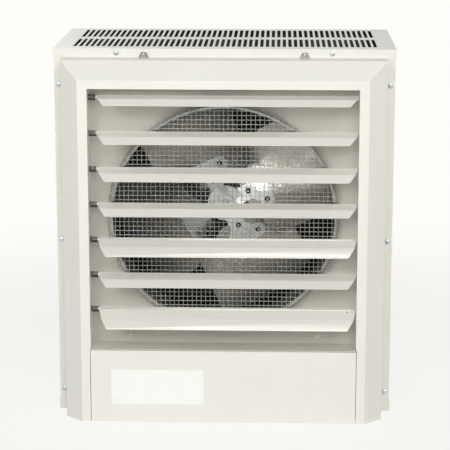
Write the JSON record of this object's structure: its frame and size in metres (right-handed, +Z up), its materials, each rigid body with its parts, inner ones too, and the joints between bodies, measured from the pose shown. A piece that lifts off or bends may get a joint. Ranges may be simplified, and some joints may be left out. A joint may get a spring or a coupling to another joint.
{
  "type": "electric unit heater",
  "caption": "Box-shaped electric unit heater with a bevelled front frame, sprung air louvers over a guarded axial fan, a slotted top cover and a hinged control compartment door.",
  "frame": {"origin": "middle of the base's underside, midway between the front plane and the back panel", "axes": "+Z up, -Y towards the louvers, +X to the right as seen from the front"},
  "size_m": [0.485, 0.3105, 0.529],
  "materials": {
    "enamel": "satin",
    "zinc": "bright zinc",
    "galvanised": "dull",
    "label_vinyl": "gloss",
    "spring_steel": "black",
    "fan_aluminium": "mill",
    "fan_steel": "bright",
    "black_oxide": "matt",
    "bright_steel": "ground",
    "motor_paint": "satin",
    "black_rubber": "matt",
    "element_steel": "heat tinted",
    "brass": "plain",
    "black_plastic": "matt",
    "clear_grey_plastic": "gloss"
  },
  "bodies": {
    "cabinet": {"side_panel_left": "enamel", "side_panel_right": "enamel", "bottom_pan": "enamel", "top_cover": "enamel", "back_panel": "enamel", "front_header": "enamel", "front_frame": "enamel", "control_shelf": "enamel", "door_catches": "zinc", "orifice_plate": "enamel", "fan_shroud": "enamel", "guard_ring": "galvanised", "guard_mesh": "galvanised", "louver_springs": "spring_steel", "top_clips": "zinc", "lip_screws": "zinc", "strip_screws": "zinc", "plate_screws": "enamel", "back_screws": "zinc", "bracket_screws": "zinc", "wall_inserts": "zinc", "motor_housing": "motor_paint", "motor_front_bell": "motor_paint", "motor_rear_bell": "motor_paint", "motor_bolts": "zinc", "motor_bracket": "galvanised", "motor_conduit": "bright_steel", "conduit_grommet": "black_rubber", "heating_elements": "element_steel", "element_supports": "galvanised", "element_nuts": "brass", "heat_cutout": "black_plastic", "contactor": "black_plastic", "terminal_block": "black_plastic", "transformer": "motor_paint", "fan_relay": "clear_grey_plastic", "earth_lug": "brass"},
    "louver_1": {"louver_1": "enamel", "louver_1_pins": "zinc"},
    "louver_2": {"louver_2": "enamel", "louver_2_pins": "zinc"},
    "louver_3": {"louver_3": "enamel", "louver_3_pins": "zinc"},
    "louver_4": {"louver_4": "enamel", "louver_4_pins": "zinc"},
    "louver_5": {"louver_5": "enamel", "louver_5_pins": "zinc"},
    "louver_6": {"louver_6": "enamel", "louver_6_pins": "zinc"},
    "louver_7": {"louver_7": "enamel", "louver_7_pins": "zinc"},
    "fan": {"fan_blades": "fan_aluminium", "fan_spider": "fan_steel", "fan_hub": "fan_steel", "fan_rivets": "black_oxide", "fan_set_screw": "black_oxide", "motor_shaft": "bright_steel"},
    "door": {"access_door": "enamel", "door_label": "label_vinyl", "door_pins": "zinc"}
  },
  "joints": [
    {"name": "louver_1_tilt", "type": "hinge", "parent": "cabinet", "child": "louver_1", "pos_m": [0, -0.125, 0.466], "axis": [1, 0, 0], "range_deg": [-22, 68]},
    {"name": "louver_2_tilt", "type": "hinge", "parent": "cabinet", "child": "louver_2", "pos_m": [0, -0.125, 0.41533], "axis": [1, 0, 0], "range_deg": [-26.5, 63.5]},
    {"name": "louver_3_tilt", "type": "hinge", "parent": "cabinet", "child": "louver_3", "pos_m": [0, -0.125, 0.36467], "axis": [1, 0, 0], "range_deg": [-28.5, 61.5]},
    {"name": "louver_4_tilt", "type": "hinge", "parent": "cabinet", "child": "louver_4", "pos_m": [0, -0.125, 0.314], "axis": [1, 0, 0], "range_deg": [-26, 64]},
    {"name": "louver_5_tilt", "type": "hinge", "parent": "cabinet", "child": "louver_5", "pos_m": [0, -0.125, 0.26333], "axis": [1, 0, 0], "range_deg": [-36.5, 53.5]},
    {"name": "louver_6_tilt", "type": "hinge", "parent": "cabinet", "child": "louver_6", "pos_m": [0, -0.125, 0.21267], "axis": [1, 0, 0], "range_deg": [-26, 64]},
    {"name": "louver_7_tilt", "type": "hinge", "parent": "cabinet", "child": "louver_7", "pos_m": [0, -0.125, 0.162], "axis": [1, 0, 0], "range_deg": [-43, 47]},
    {"name": "fan_spin", "type": "hinge", "parent": "cabinet", "child": "fan", "pos_m": [0, -0.02, 0.294], "axis": [0, 1, 0], "continuous": true},
    {"name": "door_swing", "type": "hinge", "parent": "cabinet", "child": "door", "pos_m": [0, -0.136, 0.007], "axis": [1, 0, 0], "range_deg": [0, 90]}
  ]
}
